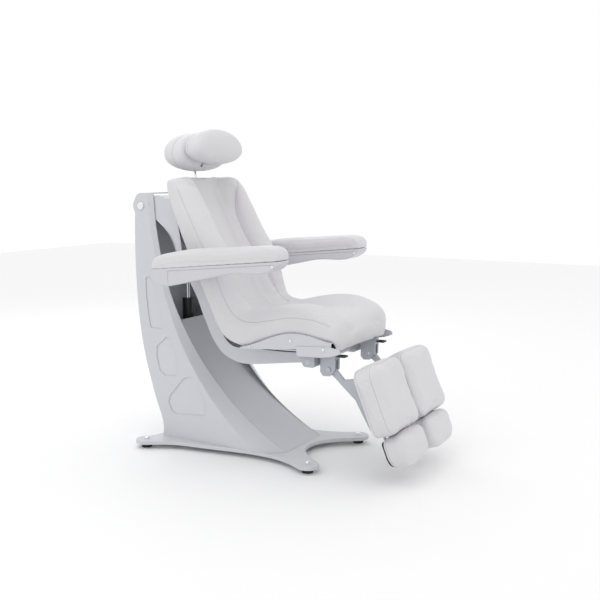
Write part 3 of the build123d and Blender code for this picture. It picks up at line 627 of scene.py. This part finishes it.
def armrest_pads():
    for hand, s in SIDES:
        bottom = [(SPLIT_FRONT[0] + (SPLIT_REAR[0] - SPLIT_FRONT[0]) * i / 30,
                   SPLIT_FRONT[1] + (SPLIT_REAR[1] - SPLIT_FRONT[1]) * i / 30) for i in range(31)]
        outline = [(y * MM, z * MM + 0.0012) for y, z in REST_TOP[1:-1]] \
            + [(y * MM, z * MM - REST_SINK) for y, z in bottom]
        flat = np.array(resample(outline, 200))
        middle = flat.mean(0)[0]
        rings = []
        for i in range(9):
            a = math.pi / 2 * i / 8
            rings.append(armrest_ring(flat, middle, s, -REST_HALF + REST_EDGE * (1 - math.cos(a)),
                                      REST_EDGE * (1 - math.sin(a))))
        for i in range(1, 8):
            rings.append(armrest_ring(flat, middle, s, -REST_HALF + REST_EDGE
                                      + (2 * REST_HALF - 2 * REST_EDGE) * i / 8, 0.0))
        for i in range(9):
            a = math.pi / 2 * i / 8
            rings.append(armrest_ring(flat, middle, s, REST_HALF - REST_EDGE + REST_EDGE * math.sin(a),
                                      REST_EDGE * (1 - math.cos(a))))
        pad = loft(f"armrest_pad_soft_{hand}", rings, LEATHER)
        puff(pad, 0.0045, 0.003, 2.5, keep_flat=above_split)
        finish_soft(pad, f"armrest_{hand}", [f"armrest_pad_{hand}"])
        trim(hand, s)


def above_split(co):
    """Weight that holds the pad's underside on its casing."""
    return np.clip((co[:, 2] - split(co[:, 1]) - 0.002) / 0.015, 0, 1)


def trim(hand, s):
    """Thread-grey strip along the casing, painted shade standing in for its groove line; the end cap's joint
    line and the casing's two screws.
    """
    body = f"armrest_{hand}"
    for face in (-1, 1):
        x = s * REST_X + face * 0.0474
        side = "in" if face * s < 0 else "out"
        # a thin tube in the dark thread colour laid along the casing's groove line: painted groove shade
        groove_shade = tube(f"casing_groove_shade_{hand}_{side}",
                    [(x, y, z) for y, z in ((0.343, 0.812), (0.20, 0.826), (0.0, 0.845), (-0.166, 0.8615))],
                    0.0011, THREAD)
        joint = tube(f"casing_joint_{hand}_{side}",
                     [(x, y, z) for y, z in ((0.343, 0.812), (0.344, 0.80), (0.345, 0.78), (0.341, 0.762))],
                     0.0010, THREAD)
        for piece in (groove_shade, joint):
            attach(piece, body)
        screw = dome(f"casing_screw_{hand}_{side}", (x, -0.160, 0.853), (face, 0, 0), 0.0062, 0.0035)
        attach(screw, body)


def dome(name, at, axis, radius, height):
    """Low domed screw head with a hexagon socket."""
    axis = Vector(axis).normalized()
    turn = axis.to_track_quat("Z", "Y").to_matrix()
    rings = []
    profile = [(1.0, -0.2), (1.0, 0.25), (0.93, 0.6), (0.78, 0.85), (0.55, 1.0), (0.46, 1.0), (0.42, 0.35)]
    for k, (r, h) in enumerate(profile):
        ring = []
        for i in range(36):
            a = 2 * math.pi * i / 36
            rr = r
            if k >= 5:
                rr = r * math.cos(math.pi / 6) / math.cos((a % (math.pi / 3)) - math.pi / 6)
            spot = Vector((radius * rr * math.cos(a), radius * rr * math.sin(a), height * h))
            ring.append(Vector(at) + turn @ spot)
        rings.append(ring)
    return loft(name, rings, CHROME)


# ---------------------------------------------------------------- stage
FLOOR_HALF = 9.0


def stage():
    corners = [(x * FLOOR_HALF, y * FLOOR_HALF, 0) for x, y in ((-1, -1), (1, -1), (1, 1), (-1, 1))]
    pale = surface("floor_white", (0.93, 0.93, 0.935), 0.75, 0.003, specular=0.15)
    floor = mesh_object("studio_floor", corners, [(0, 1, 2, 3)], pale)
    world = bpy.data.worlds.new("studio")
    world.use_nodes = True
    world.node_tree.nodes["Background"].inputs["Color"].default_value = (1.0, 1.0, 1.0, 1)
    world.node_tree.nodes["Background"].inputs["Strength"].default_value = 1.0
    bpy.context.scene.world = world
    for name, at, size, power, tint in (
            ("key", (-1.4, 0.4, 3.8), 2.4, 16, (1.0, 0.995, 0.985)),
            ("rim", (2.4, 2.8, 3.0), 2.4, 14, (1.0, 1.0, 1.0))):
        lamp = bpy.data.lights.new(name, "AREA")
        lamp.shape = "DISK"
        lamp.size = size
        lamp.energy = power
        lamp.color = tint
        made = bpy.data.objects.new(name, lamp)
        made.location = at
        made.rotation_euler = (Vector((0, 0.05, 0.7)) - Vector(at)).to_track_quat("-Z", "Y").to_euler()
        bpy.context.scene.collection.objects.link(made)


def camera():
    eye = bpy.data.cameras.new("view")
    eye.lens, eye.sensor_width = 53.22, 36.0
    made = bpy.data.objects.new("view", eye)
    made.location = (-3.2892, -1.9223, 1.2)
    made.rotation_euler = (math.radians(90 - 7.9763), 0, math.radians(-60.4082))
    bpy.context.scene.collection.objects.link(made)
    bpy.context.scene.camera = made
    bpy.context.scene.view_settings.view_transform = "Standard"


camera()
dress_cad_nodes()
bucket()
leg_pads()
headrest_pads()
armrest_pads()
stage()
